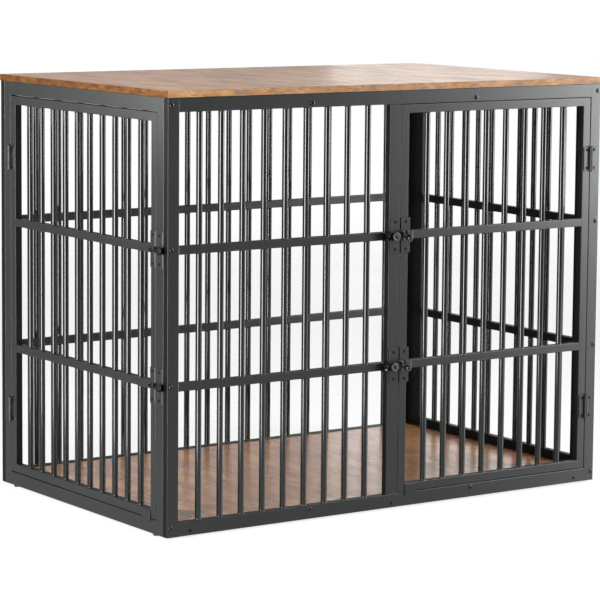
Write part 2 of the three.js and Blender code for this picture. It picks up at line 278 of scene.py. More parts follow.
def make_piece(name, bm, material, body, nodes=()):
    """Turns a bmesh into a piece that rides on a body and stands for the CAD nodes that it replaces."""
    bmesh.ops.recalc_face_normals(bm, faces=bm.faces)
    mesh = bpy.data.meshes.new(name)
    bm.to_mesh(mesh)
    bm.free()
    for face in mesh.polygons:
        face.use_smooth = True
    mesh.set_sharp_from_angle(angle=SMOOTH_ANGLE)
    mesh.materials.append(material)
    piece = bpy.data.objects.new(name, mesh)
    bpy.context.scene.collection.objects.link(piece)
    normals = piece.modifiers.new("flat_faces", "WEIGHTED_NORMAL")
    normals.keep_sharp = True
    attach(piece, body)
    if nodes:
        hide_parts(*nodes)
    return piece


# ---- Materials ----
class Nodes:
    """Short names for building a node tree."""

    def __init__(self, name):
        self.material = bpy.data.materials.new(name)
        self.material.use_nodes = True
        self.tree = self.material.node_tree
        self.shader = self.tree.nodes["Principled BSDF"]
        coordinates = self.tree.nodes.new("ShaderNodeTexCoord")
        self.place = coordinates.outputs["Object"]

    def link(self, source, socket):
        self.tree.links.new(source, socket)

    def stretched(self, scale, source):
        node = self.tree.nodes.new("ShaderNodeMapping")
        node.inputs["Scale"].default_value = scale
        self.link(source, node.inputs["Vector"])
        return node.outputs["Vector"]

    def noise(self, vector, scale, detail, roughness=0.5, distortion=0.0):
        node = self.tree.nodes.new("ShaderNodeTexNoise")
        values = {"Scale": scale, "Detail": detail, "Roughness": roughness, "Distortion": distortion}
        for socket, value in values.items():
            node.inputs[socket].default_value = value
        self.link(vector, node.inputs["Vector"])
        return node.outputs["Fac"]

    def remap(self, source, low, high, to_low=0.0, to_high=1.0):
        node = self.tree.nodes.new("ShaderNodeMapRange")
        node.interpolation_type = "SMOOTHSTEP"
        for socket, value in zip(RANGE_SOCKETS, (low, high, to_low, to_high)):
            node.inputs[socket].default_value = value
        self.link(source, node.inputs["Value"])
        return node.outputs["Result"]

    def mix(self, factor, a, b):
        """Mix of two colours, each a tuple or an output."""
        node = self.tree.nodes.new("ShaderNodeMix")
        node.data_type = "RGBA"
        kinds = {"Factor": "VALUE", "A": "RGBA", "B": "RGBA"}
        for name, value in (("Factor", factor), ("A", a), ("B", b)):
            socket = next(s for s in node.inputs if s.name == name and s.type == kinds[name])
            if isinstance(value, tuple):
                socket.default_value = (*value, 1)
            else:
                self.link(value, socket)
        return next(s for s in node.outputs if s.type == "RGBA")

    def bump(self, height, distance, strength):
        node = self.tree.nodes.new("ShaderNodeBump")
        node.inputs["Distance"].default_value = distance
        node.inputs["Strength"].default_value = strength
        self.link(height, node.inputs["Height"])
        self.link(node.outputs["Normal"], self.shader.inputs["Normal"])

    def set(self, **values):
        for name, value in values.items():
            self.shader.inputs[name.replace("_", " ")].default_value = value


def coat(name, dark, light, rough, grain_size, relief, gloss=0.5):
    """Powder coat or satin black enamel: a fine orange-peel surface with faint variation."""
    n = Nodes(name)
    broad = n.noise(n.place, 5, 2)
    fine = n.noise(n.place, 1 / grain_size, 2, 0.6)
    tone = n.mix(n.remap(broad, 0.3, 0.7), dark, light)
    n.link(n.mix(n.remap(fine, 0.35, 0.75, 0.0, 0.35), tone, light), n.shader.inputs["Base Color"])
    n.link(n.remap(fine, 0.25, 0.75, rough - 0.02, rough + 0.02), n.shader.inputs["Roughness"])
    n.bump(fine, relief, 0.5)
    n.set(Specular_IOR_Level=gloss)
    return n.material


def wood(name, stretch, seed, tan, amber, mauve, umber, rough, gloss, grain_stretch=(1, 0.35, 1)):
    """Rustic laminate in four tones; the stretches say how fast it and its grain change along x, y and z."""
    n = Nodes(name)
    shifted = n.tree.nodes.new("ShaderNodeMapping")
    shifted.inputs["Location"].default_value = (seed * 3.1, seed * 1.7, seed * 2.3)
    n.link(n.place, shifted.inputs["Vector"])
    place = n.stretched(stretch, shifted.outputs["Vector"])
    blotches = n.noise(place, 13, 3, 0.6, 0.3)
    streaks = n.noise(place, 30, 5, 0.62, 0.35)
    grain = n.noise(n.stretched(grain_stretch, place), 95, 4, 0.7, 0.3)
    knots = n.noise(place, 19, 4, 0.62, 0.8)
    colour = n.mix(n.remap(blotches, 0.36, 0.62), tan, amber)
    colour = n.mix(n.remap(streaks, 0.42, 0.66, 0.0, 0.8), colour, mauve)
    colour = n.mix(n.remap(grain, 0.46, 0.68, 0.0, 0.5), colour, mauve)
    colour = n.mix(n.remap(knots, 0.6, 0.76, 0.0, 0.9), colour, umber)
    n.link(colour, n.shader.inputs["Base Color"])
    n.link(n.remap(streaks, 0.3, 0.7, rough - 0.04, rough + 0.04), n.shader.inputs["Roughness"])
    n.set(Specular_IOR_Level=gloss)
    n.bump(n.noise(place, 60, 1), 0.004 * MM, 0.2)
    return n.material


def plastic(name):
    """Matt black plastic."""
    n = Nodes(name)
    fine = n.noise(n.place, 1400, 2)
    n.link(n.mix(fine, (0.012, 0.012, 0.012), (0.02, 0.02, 0.02)), n.shader.inputs["Base Color"])
    n.link(n.remap(fine, 0.3, 0.7, 0.5, 0.62), n.shader.inputs["Roughness"])
    n.bump(fine, 0.04 * MM, 0.5)
    return n.material


def pale_floor():
    """White studio floor that fades out at its rim."""
    n = Nodes("studio_floor")
    white = n.mix(n.noise(n.place, 6, 2), (0.84, 0.84, 0.84), (0.86, 0.86, 0.86))
    n.link(white, n.shader.inputs["Base Color"])
    n.set(Roughness=0.75)
    away = n.tree.nodes.new("ShaderNodeVectorMath")
    away.operation = "LENGTH"
    n.link(n.place, away.inputs[0])
    solid = n.remap(away.outputs["Value"], FLOOR_RADIUS * 0.3, FLOOR_RADIUS * 0.98, 0.2, 0)
    n.link(solid, n.shader.inputs["Alpha"])
    return n.material


TUBE_GRAIN = 1.3 * MM  # size of the coat's relief
FINE_GRAIN = 0.9 * MM
POWDER_COAT = coat(
    "powder_coat", (0.0075, 0.0088, 0.0084), (0.010, 0.0115, 0.011), 0.31, TUBE_GRAIN, 0.004 * MM,
)
BAR_COAT = coat(
    "bar_powder_coat", (0.005, 0.0058, 0.0056), (0.007, 0.0078, 0.0076), 0.1, TUBE_GRAIN, 0.0002 * MM,
)
# painted shade: a darker, duller copy of the powder coat for the faces that look into the openings and the
# right panel's inside
PAINTED_SHADE_COAT = coat(
    "painted_shade_coat", (0.003, 0.0034, 0.0033), (0.005, 0.0054, 0.0053), 0.42, TUBE_GRAIN, 0.002 * MM, 0.1,
)
KNOB_BLACK = coat(
    "knob_black", (0.002, 0.002, 0.002), (0.004, 0.004, 0.004), 0.14, FINE_GRAIN, 0.001 * MM, 0.2,
)
HARDWARE = coat(
    "black_hardware", (0.004, 0.004, 0.004), (0.008, 0.008, 0.008), 0.2, FINE_GRAIN, 0.002 * MM,
)
# painted light: a lighter copy of the latch hardware for the front latches' hooks, ears and knob fronts,
# standing in for their highlights
PAINTED_LIGHT_HARDWARE = coat(
    "painted_light_hardware", (0.034, 0.036, 0.036), (0.042, 0.044, 0.044), 0.3, FINE_GRAIN, 0.002 * MM,
)
SCREW_BLACK = coat(
    "screw_black", (0.003, 0.003, 0.003), (0.005, 0.005, 0.005), 0.35, FINE_GRAIN, 0.002 * MM, 0.12,
)
BOLT_BLACK = coat(
    "bolt_black", (0.003, 0.003, 0.003), (0.005, 0.005, 0.005), 0.16, FINE_GRAIN, 0.002 * MM, 0.6,
)
KNUCKLE_COAT = coat(
    "knuckle_coat", (0.016, 0.018, 0.018), (0.02, 0.022, 0.022), 0.5, FINE_GRAIN, 0.002 * MM,
)
WOOD_TOP = wood(
    "rustic_laminate_top", (1, 0.22, 0.3), 1,
    (0.50, 0.255, 0.09), (0.44, 0.18, 0.05), (0.23, 0.125, 0.085), (0.08, 0.04, 0.026), 0.26, 0.44,
)
WOOD_FLOOR = wood(
    "rustic_laminate_floor", (0.9, 0.25, 0.3), 2,
    (0.52, 0.27, 0.115), (0.42, 0.185, 0.07), (0.24, 0.135, 0.1), (0.06, 0.03, 0.022), 0.24, 1.0,
)
WOOD_BAND = {
    0: wood(
        "edge_band_along_x", (1.4, 0.3, 3.4), 3,
        (0.35, 0.19, 0.078), (0.27, 0.127, 0.04), (0.12, 0.082, 0.07), (0.045, 0.032, 0.028), 0.45, 0.18,
    ),
    # painted shade: the bands along y, on the left and right sides, are a much darker and less glossy copy
    # of the band along x
    1: wood(
        "edge_band_along_y_painted_shade", (0.3, 1.5, 4.0), 4,
        (0.138, 0.055, 0.009), (0.1, 0.034, 0.005), (0.038, 0.018, 0.009), (0.014, 0.008, 0.006), 0.5, 0.1,
        grain_stretch=(1, 1, 1),
    ),
}
FOOT_PLASTIC = plastic("foot_plastic")
# the front latches take the lighter copy, painted light, where the side latches take the powder coat; the
# black housings are dark metal with painted shade round the knob
LATCH_FINISH = {
    "front": {"finish": PAINTED_LIGHT_HARDWARE, "knob_finish": PAINTED_LIGHT_HARDWARE, "housing_finish": KNOB_BLACK},
    "left": {"finish": POWDER_COAT, "knob_finish": KNOB_BLACK, "housing_finish": KNOB_BLACK},
}


# ---- Tubes ----
def tube(bm, place, low, high, axis, hollow):
    """A rounded box tube between two corners, along one of the place's axes."""
    across = [i for i in range(3) if i != axis]
    unit = [Vector([float(i == k) for i in range(3)]) for k in range(3)]
    origin = (Vector(low) + Vector(high)) / 2
    origin[axis] = low[axis]
    size = Vector(high) - Vector(low)
    local = place @ frame_of(origin, unit[across[0]], unit[across[1]], unit[axis])
    width, height, length = size[across[0]], size[across[1]], size[axis]

    def section(inset, level):
        return ring(local, rounded_outline(width - 2 * inset, height - 2 * inset, TUBE_EDGE - inset), level)

    levels = ((CUT_EDGE, 0), (0, CUT_EDGE), (0, length - CUT_EDGE), (CUT_EDGE, length))
    outside = [section(inset, level) for inset, level in levels]
    if hollow:
        loft(bm, [*outside, section(SKIN, length), section(SKIN, 0)], closed=True)
    else:
        loft(bm, outside)


def paint_shade_on_inner_faces(piece, panel):
    """A darker, duller coat that paints shade on the faces that look into the openings, and on the inside of
    the right panel.
    """
    piece.data.materials.append(PAINTED_SHADE_COAT)
    for face in piece.data.polygons:
        out = face.normal.dot(OUTWARD[panel])
        if abs(out) < EDGE_ON or (out < 0 and panel == "right"):
            face.material_index = 1


def frame_tubes():
    """The open box tubes of the four outer panels and the cross bars."""
    for node in frame["nodes"]:
        if node.endswith(("_post", "_rail")) or "crossbar" in node:
            low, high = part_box(node)
            size = high - low
            axis = max(range(3), key=lambda i: size[i])
            if node.endswith("_rail"):
                low[axis] -= WELD_REACH
                high[axis] += WELD_REACH
            bm = bmesh.new()
            tube(bm, Matrix.Identity(4), low, high, axis, True)
            piece = make_piece(f"{node}_tube", bm, POWDER_COAT, "frame", [node])
            panel = node.split("_")[0]
            if panel in OUTWARD:
                paint_shade_on_inner_faces(piece, panel)


# ---- Panels: u to the right as seen from outside, v inwards from the outer face, z up ----
def panels():
    """Each panel's origin at its lower left corner, seen from outside."""
    low_front, high_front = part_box("front_left_post")[0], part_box("front_right_post")[1]
    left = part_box("left_side_rear_post")
    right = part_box("right_side_front_post")
    corner_back = Vector((high_front.x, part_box("back_right_post")[1].y, low_front.z))
    return {
        "front": frame_of(low_front, X, Y, Z),
        "back": frame_of(corner_back, -X, -Y, Z),
        "left": frame_of((left[0].x, left[1].y, left[0].z), -Y, X, Z),
        "right": frame_of((right[1].x, right[0].y, right[0].z), Y, -X, Z),
    }


PANELS = panels()
GROUND = PANELS["front"].translation.z  # the frame's bottom, which heights in a panel start from
OPEN_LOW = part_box("front_bottom_rail")[1].z - GROUND
OPEN_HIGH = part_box("front_top_rail")[0].z - GROUND
MID_RAIL_Z = [OPEN_LOW + (OPEN_HIGH - OPEN_LOW) * third / 3 for third in (1, 2)]


def span(panel, node):
    """Lowest and highest panel coordinates of a CAD node."""
    back = PANELS[panel].inverted()
    corners = [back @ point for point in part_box(node)]
    return Vector(map(min, *corners)), Vector(map(max, *corners))


def weld_profile(low, high):
    """A bar's (radius, height) from tube to tube, with a small weld fillet at each end."""
    steps = ((0, 1.0), (0.12, 0.62), (0.4, 0.3), (0.8, 0.09), (1.5, 0))
    start = [(BAR_RADIUS + WELD_FILLET * wide, low + WELD_FILLET * along) for along, wide in steps]
    end = [(BAR_RADIUS + WELD_FILLET * wide, high - WELD_FILLET * along) for along, wide in reversed(steps)]
    return [(start[0][0], low - SINK), *start, *end, (end[-1][0], high + SINK)]


def add_bars(bm, place, u0, u1, low, high, count):
    """Evenly spaced bars between u0 and u1, in the three stretches that the mid rails leave."""
    pitch = (u1 - u0) / (count + 1)
    edges = [low, *(z + side * MID_RAIL / 2 for z in MID_RAIL_Z for side in (-1, 1)), high]
    for index in range(count):
        local = place @ Matrix.Translation((u0 + pitch * (index + 1), TUBE / 2, 0))
        for bottom, top in zip(edges[::2], edges[1::2]):
            lathe(bm, local, weld_profile(bottom, top), 24)


def barred_field(panel, name, body, u0, u1, low, high, count, node):
    """Bars and the two rails across them."""
    place = PANELS[panel]
    bm = bmesh.new()
    add_bars(bm, place, u0, u1, low, high, count)
    make_piece(f"{name}_bars", bm, BAR_COAT, body, [node])
    for level, z in zip(("lower", "upper"), MID_RAIL_Z):
        bm = bmesh.new()
        tube(bm, place, (u0 - SINK, 0, z - MID_RAIL / 2), (u1 + SINK, TUBE, z + MID_RAIL / 2), 0, False)
        piece = make_piece(f"{name}_{level}_mid_rail", bm, POWDER_COAT, body, [node])
        paint_shade_on_inner_faces(piece, panel)


def leaf(panel, name, body, count, node):
    """A welded leaf: two stiles, a top and a bottom tube, two rails and its bars."""
    low, high = span(panel, node)
    place = PANELS[panel]
    inner = (low.x + LEAF_STILE, high.x - LEAF_STILE)
    start_u, end_u = inner[0] - WELD_REACH, inner[1] + WELD_REACH
    parts = {
        "left_stile": (low, (inner[0], TUBE, high.z), 2),
        "right_stile": ((inner[1], 0, low.z), high, 2),
        "bottom_tube": ((start_u, 0, low.z), (end_u, TUBE, low.z + LEAF_RAIL), 0),
        "top_tube": ((start_u, 0, high.z - LEAF_RAIL), (end_u, TUBE, high.z), 0),
    }
    for part, (start, end, axis) in parts.items():
        bm = bmesh.new()
        tube(bm, place, start, end, axis, False)
        piece = make_piece(f"{name}_{part}", bm, POWDER_COAT, body, [node])
        paint_shade_on_inner_faces(piece, panel)
    barred_field(panel, name, body, *inner, low.z + LEAF_RAIL, high.z - LEAF_RAIL, count, node)


def grille(panel, name, count):
    """Bars and rails that are welded straight into the frame."""
    low, high = span(panel, name)
    barred_field(panel, name, "frame", low.x - FIT, high.x + FIT, low.z - FIT, high.z + FIT, count, name)


# ---- Fasteners on the frame ----
def facing_out(origin):
    """A place in panel coordinates whose z axis points outwards."""
    return frame_of(origin, (1, 0, 0), (0, 0, 1), (0, -1, 0))


def along_u(origin):
    """A place in panel coordinates whose z axis points along u."""
    return frame_of(origin, (0, 1, 0), (0, 0, 1), (1, 0, 0))


def on_face(panel, u, z, lift=0.0):
    """A place on a panel's outer face or lifted off it, with its z axis pointing outwards."""
    return PANELS[panel] @ facing_out((u, -lift, z))


def frame_bolts():
    """Bolts that join the front and back panels to the side panels and the cross bars."""
    length = (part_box("front_right_post")[1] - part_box("front_left_post")[0]).x
    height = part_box("front_left_post")[1].z - GROUND
    cross = [span("front", f"floor_crossbar_{side}") for side in ("left", "right")]
    cross_u = [(low.x + high.x) / 2 for low, high in cross]
    post_z = [POST_BOLT_LOW, *(z + POST_BOLT_LIFT for z in MID_RAIL_Z), height - POST_BOLT_HIGH]
    places = [(u, z) for u in (TUBE / 2, length - TUBE / 2) for z in post_z]
    places += [(u, z) for u in cross_u for z in (CROSS_BOLT_LOW, height - CROSS_BOLT_HIGH)]
    for panel in ("front", "back"):
        bm = bmesh.new()
        for u, z in places:
            panel_bolt(bm, on_face(panel, u, z))
        make_piece(f"{panel}_panel_bolts", bm, BOLT_BLACK, "frame")
        bm = bmesh.new()
        for u in (FLOOR_SCREW_LEFT, length / 2, length - FLOOR_SCREW_RIGHT):
            wood_screw(bm, on_face(panel, u, FLOOR_SCREW_Z))
        make_piece(f"{panel}_floor_screws", bm, SCREW_BLACK, "frame")


# ---- Stop plates ----
def stop_plate(panel, node, body):
    """The small plate at a door's lower corner that laps over the bottom rail."""
    low, high = span(panel, node)
    middle = (low + high) / 2
    bm = bmesh.new()
    local = on_face(panel, middle.x, middle.z, FIT)
    plate(bm, local, high.x - low.x, high.z - low.z, PLATE, 2 * MM)
    make_piece(f"{node}_sheet", bm, POWDER_COAT, body, [node])


# ---- Hinges ----
def hinge(panel, door, level):
    """Two leaves with knuckles and screws, and a pin with domed ends."""
    name = f"{door}_{level}_hinge"
    low, high = span(panel, f"{name}_pin")
    centre = (low + high) / 2
    post_low, post_high = span(panel, f"{name}_post_leaf")
    half = (post_high.z - post_low.z) / 2
    toward_post = 1 if (post_low.x + post_high.x) / 2 > centre.x else -1
    hinge_side(panel, name, "post", "frame", centre, half, toward_post)
    hinge_side(panel, name, "door", f"{door}_door", centre, half, -toward_post)
    hinge_pin(panel, name, centre, half)


def hinge_side(panel, name, side, body, centre, half, direction):
    """One leaf of a hinge, with its knuckles and its two screws."""
    bm = bmesh.new()
    start = HINGE["knuckle"] - LEAF_TUCK
    middle = (start + HINGE["reach"]) / 2
    face = on_face(panel, centre.x + direction * middle, centre.z, FIT)
    plate(bm, face, HINGE["reach"] - start, 2 * half, PLATE, 1.2 * MM, PLATE_EDGE)
    make_piece(f"{name}_{side}_plate", bm, POWDER_COAT, body, [f"{name}_{side}_leaf"])
    bm = bmesh.new()
    axis = PANELS[panel] @ Matrix.Translation(centre)
    for bottom, top in KNUCKLES[side]:
        knuckle(bm, axis, centre.y, direction, bottom * MM, top * MM)
    make_piece(f"{name}_{side}_knuckles", bm, KNUCKLE_COAT, body, [f"{name}_{side}_leaf"])
    bm = bmesh.new()
    u = centre.x + direction * HINGE["screw_out"]
    for sign in (-1, 1):
        wood_screw(bm, on_face(panel, u, centre.z + sign * HINGE["screw_up"], FIT + PLATE))
    make_piece(f"{name}_{side}_screws", bm, SCREW_BLACK, body)


def hinge_pin(panel, name, centre, half):
    """The pin, with a domed cap at each end; the dome is (share of the cap's radius, height in mm)."""
    bm = bmesh.new()
    end, cap, pin = half + FIT, HINGE["knuckle"] - 1 * MM, HINGE["pin"]
    dome = ((0.55, 1.5), (0.85, 1.25), (1, 0.8), (1, 0.25), (0.96, 0.0))
    profile = [(cap * share, -end - rise * MM) for share, rise in dome]
    profile += [(pin, -end), (pin, end)]
    profile += [(cap * share, end + rise * MM) for share, rise in reversed(dome)]
    lathe(bm, PANELS[panel] @ Matrix.Translation(centre), profile, 24)
    make_piece(f"{name}_pin_rod", bm, HARDWARE, "frame", [f"{name}_pin"])


def knuckle(bm, axis, pin_v, direction, bottom, top):
    """A rolled eye round the pin, with the sheet that runs from it to the plate."""
    radius, bore, edge = HINGE["knuckle"], HINGE["bore"], KNUCKLE_EDGE
    outside = ((radius - edge, bottom), (radius, bottom + edge), (radius, top - edge), (radius - edge, top))
    levels = (*outside, (bore, top), (bore, bottom))
    loft(bm, [ring(axis, circle(r, 28), z) for r, z in levels], closed=True)
    width = radius + LEAF_TUCK
    tail = axis @ facing_out((direction * width / 2, -pin_v - FIT, (bottom + top) / 2))
    plate(bm, tail, width, top - bottom, PLATE, KNUCKLE_EDGE)


# ---- Latches ----
def latch_frame(panel, door, level):
    """Origin on the panel's face at the centre of the door gap, x towards the door, y inwards, z up."""
    low, high = span(panel, f"{door}_door_leaf")
    keeper_low, keeper_high = span(panel, f"{door}_{level}_latch_keeper")
    at_left = (keeper_low.x + keeper_high.x) / 2 < (low.x + high.x) / 2
    gap = low.x - DOOR_GAP / 2 if at_left else high.x + DOOR_GAP / 2
    inward = 1 if at_left else -1
    z = (keeper_low.z + keeper_high.z) / 2
    return PANELS[panel] @ frame_of((gap, 0, z), (inward, 0, 0), (0, 1, 0), (0, 0, 1))


def latch_plate(name, place, along, body, node):
    """A plate on the face, which a latch's housing or hook stands on."""
    bm = bmesh.new()
    local = place @ facing_out(((along[0] + along[1]) / 2 * MM, -FIT, 0))
    plate(bm, local, (along[1] - along[0]) * MM, 2 * LATCH["half_plate"] * MM, PLATE, 1.4 * MM, PLATE_EDGE)
    make_piece(name, bm, POWDER_COAT, body, [node])


def latch_screws(name, place, along, body):
    """One screw above and one below in a latch's plate."""
    bm = bmesh.new()
    middle = (along[0] + along[1]) / 2 * MM
    for sign in (-1, 1):
        wood_screw(bm, place @ facing_out((middle, -FIT - PLATE, sign * LATCH["screw_up"] * MM)))
    make_piece(name, bm, SCREW_BLACK, body)


def housing_reach(size, angle):
    """Distance in mm from the rod's axis to the housing's outside; angle 0 points to the front."""
    half, forward = size["barrel_half"], size["barrel_front"] - size["axis"]
    out, side = math.cos(angle), abs(math.sin(angle))
    limits = []
    if side > TINY:
        limits.append(half / side)
    if out > TINY:
        limits.append(forward / out)
    if out < -TINY:
        limits.append((size["axis"] - HOUSING_BACK) / -out)
    rounding = 0.0
    if out > 0:
        off_corner = abs(abs(angle) - math.atan2(half, forward))
        rounding = HOUSING_CORNER * max(0.0, 1 - off_corner / HOUSING_CORNER_SPREAD) ** 2
    return min(limits) - rounding


def barrel_sweep(bm, place, size, start, end, slotted):
    """A stretch of the housing round the rod's bore; a slotted one is open at the front for the neck."""
    steps = 40
    axis, bore = size["axis"], size["bore"]
    gap = math.asin(min(0.95, (size["neck"] + NECK_PLAY) / bore)) if slotted else 0.0
    turns = [gap + (2 * math.pi - 2 * gap) * i / steps for i in range(steps + (1 if slotted else 0))]
    turns = [turn if turn <= math.pi else turn - 2 * math.pi for turn in turns]

    def section(distances, x):
        return [
            place @ Vector((x * MM, (-axis - d * math.cos(turn)) * MM, d * math.sin(turn) * MM))
            for turn, d in zip(turns, distances)
        ]

    full = [housing_reach(size, turn) for turn in turns]
    broken = [distance - HOUSING_EDGE for distance in full]
    inside = [bore] * len(turns)
    if slotted:
        loft(bm, [section(full, x) + list(reversed(section(inside, x))) for x in (start, end)])
    else:
        loft(bm, [
            section(broken, start), section(full, start + HOUSING_EDGE),
            section(full, end - HOUSING_EDGE), section(broken, end),
            section(inside, end), section(inside, start),
        ], closed=True)


def latch_housing(name, place, size, body):
    """The barrel's housing, slotted along the knob's travel; a short one is slotted to its outer end."""
    bm = bmesh.new()
    start, end = size["barrel"]
    slot_half = size["neck"] + NECK_PLAY
    slot_start = max(start, size["knob"] - LATCH["travel"] - slot_half)
    slot_end = size["knob"] + slot_half
    if slot_start > start + 1:
        barrel_sweep(bm, place, size, start, slot_start, False)
    barrel_sweep(bm, place, size, slot_start, slot_end, True)
    barrel_sweep(bm, place, size, slot_end, end, False)
    make_piece(f"{name}_barrel_housing", bm, size["housing_finish"], body, [f"{name}_barrel"])


def latch_ears(name, place, size, body):
    """Two ears at the barrel's end, above and below the rod."""
    bm = bmesh.new()
    near, far = size["bore"] - EAR_REACH, size["ear_half"]
    depth = size["barrel_front"] - EAR_BACK
    for sign in (-1, 1):
        local = place @ along_u((EAR[0], (-EAR_BACK - depth / 2) * MM, sign * (near + far) / 2 * MM))
        plate(bm, local, depth * MM, (far - near) * MM, EAR[1] - EAR[0], min(2.2, depth / 4) * MM)
    make_piece(f"{name}_barrel_ears", bm, size["finish"], body, [f"{name}_barrel"])


def latch_barrel(name, place, size, body):
    """Plate on the post with the housing, its ears and two screws."""
    latch_plate(f"{name}_post_plate", place, LATCH["post_plate"], body, f"{name}_barrel")
    latch_housing(name, place, size, body)
    latch_ears(name, place, size, body)
    latch_screws(f"{name}_post_screws", place, LATCH["post_plate"], body)


def latch_rod(name, place, size, body):
    """The sliding rod, with rounded ends."""
    bm = bmesh.new()
    radius, tail, tip = size["rod"] * MM, size["tail"] * MM, LATCH["tip"] * MM
    rounding = ((0.45, 0), (0.8, 0.16), (0.95, 0.4), (1, 0.8))
    profile = [(radius * share, tail + radius * way) for share, way in rounding]
    profile += [(radius * share, tip - radius * way) for share, way in reversed(rounding)]
    lathe(bm, place @ along_u((0, -size["axis"] * MM, 0)), profile, 32)
    make_piece(f"{name}_bolt_rod", bm, KNOB_BLACK, body, [f"{name}_bolt"])


def knob_profile(size, back, front, deep):
    """The knob's (radius, height) in mm: neck, back, rolled rim and dished front."""
    rim, dish = size["knob_radius"], size["recess"]
    roll = min(1.3, (front - back) / 2.2)
    middle, half = (front + back) / 2, (front - back) / 2
    profile = [(size["neck"], size["axis"]), (size["neck"], back), (rim - roll, back)]
    arc = [i * math.pi / 10 for i in range(1, 11)]
    profile += [(rim - roll + roll * math.sin(a), middle - half * math.cos(a)) for a in arc]
    profile += [(dish + 0.9, front - 0.1), (dish + 0.3, front - 0.4), (dish, front - 0.9)]
    return [*profile, (dish, front - deep), (0, front - deep)]


def latch_knob(name, place, size, body):
    """Neck and a dished round knob with a rivet in the dish; only its front has the latch's own finish, and
    its sides and back take the black coat as painted shade.
    """
    back, front = size["barrel_front"] + KNOB_PLAY, size["knob_front"]
    deep = (front - back) * 0.5
    out = place @ facing_out((size["knob"] * MM, 0, 0))
    bm = bmesh.new()
    lathe(bm, out, [(r * MM, h * MM) for r, h in knob_profile(size, back, front, deep)], 36)
    knob = make_piece(f"{name}_bolt_knob", bm, size["knob_finish"], body, [f"{name}_bolt"])
    outward = place.to_3x3() @ -Y
    # painted shade: the knob's sides and back take the black coat
    knob.data.materials.append(KNOB_BLACK)
    for face in knob.data.polygons:
        if face.normal.dot(outward) < KNOB_FRONT:
            face.material_index = 1
    bm = bmesh.new()
    rivet = out @ Matrix.Translation((0, 0, (front - deep) * MM))
    hole = cross_hole(reach=1.8 * MM, half=0.5 * MM)
    radius = (size["recess"] - 0.5) * MM
    screw_head(bm, rivet, radius, height=deep * 0.7 * MM, hole=hole, depth=deep * 0.4 * MM)
    make_piece(f"{name}_knob_rivet", bm, BOLT_BLACK, body)


def hook_path(size):
    """The hook's centre line: (distance out, height, direction) in mm, down at the plate and up in front."""
    thick = size["hook_thick"]
    back = FIT / MM + PLATE / MM - HOOK_SINK + thick / 2
    front = size["hook_front"] - thick / 2
    radius = (front - back) / 2
    turn_z = size["hook_bottom"] + thick / 2 + radius
    path = [(back, size["hook_top"], (0, -1)), (back, turn_z, (0, -1))]
    for i in range(1, 16):
        angle = math.pi * i / 16
        out, up = back + radius - radius * math.cos(angle), turn_z - radius * math.sin(angle)
        path.append((out, up, (math.sin(angle), -math.cos(angle))))
    return [*path, (front, turn_z, (0, 1)), (front, size["hook_top"], (0, 1))]


def latch_keeper(name, place, size, body):
    """Plate on the door with a bent hook, open at its top, and two screws."""
    latch_plate(f"{name}_door_plate", place, size["door_plate"], body, f"{name}_keeper")
    bm = bmesh.new()
    outline = rounded_outline(HOOK_WIDTH, size["hook_thick"] * MM, 0.45 * MM, 3)
    rings = []
    for out, z, (go_out, go_up) in hook_path(size):
        origin = (LATCH["hook"] * MM, -out * MM, z * MM)
        local = place @ frame_of(origin, (1, 0, 0), (0, go_up, go_out), (0, -go_out, go_up))
        rings.append(ring(local, outline))
    loft(bm, rings)
    make_piece(f"{name}_keeper_hook", bm, size["finish"], body, [f"{name}_keeper"])
    latch_screws(f"{name}_keeper_screws", place, size["door_plate"], body)


def latch(panel, door, level, size):
    """A sliding bolt: barrel on the post, rod with knob, and keeper on the door."""
    name = f"{door}_{level}_latch"
    place = latch_frame(panel, door, level)
    size = {**size, **LATCH_FINISH[panel]}
    bolt = f"{door}_{level}_bolt"
    latch_barrel(name, place, size, "frame")
    latch_rod(name, place, size, bolt)
    latch_knob(name, place, size, bolt)
    latch_keeper(name, place, size, f"{door}_door")


# ---- Boards ----
def band_section(height):
    """Outline of an edge band: (distance outwards, height) from the board's side."""
    lower = [(BAND_GAP, 0), (BAND - 0.35 * MM, 0), (BAND - 0.1 * MM, 0.1 * MM), (BAND, 0.4 * MM)]
    return lower + [(outward, height - up) for outward, up in reversed(lower)]


def edge_band(name, node, side, direction):
    """One mitred strip of edge band along a board's side."""
    low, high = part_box(node)
    centre, size = (low + high) / 2, high - low
    nx, ny = direction
    along = 0 if ny else 1
    bm = bmesh.new()
    rings = []
    for end in (-1, 1):
        points = []
        for outward, up in band_section(size.z):
            distance = size[1 - along] / 2 - BAND + outward
            lengthwise = end * (size[along] / 2 - BAND + outward)
            x = centre.x + (nx * distance if nx else lengthwise)
            y = centre.y + (ny * distance if ny else lengthwise)
            points.append(Vector((x, y, low.z + up)))
        rings.append(points)
    loft(bm, rings)
    make_piece(f"{name}_edge_band_{side}", bm, WOOD_BAND[along], "frame", [node])


def board(name, node, material):
    """A laminated board with its edge bands as four mitred strips."""
    low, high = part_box(node)
    centre, size = (low + high) / 2, high - low
    bm = bmesh.new()
    local = Matrix.Translation((centre.x, centre.y, low.z))
    plate(bm, local, size.x - 2 * BAND, size.y - 2 * BAND, size.z, 0.2 * MM, 0.15 * MM)
    make_piece(f"{name}_panel", bm, material, "frame", [node])
    for side, direction in {"front": (0, -1), "back": (0, 1), "left": (-1, 0), "right": (1, 0)}.items():
        edge_band(name, node, side, direction)


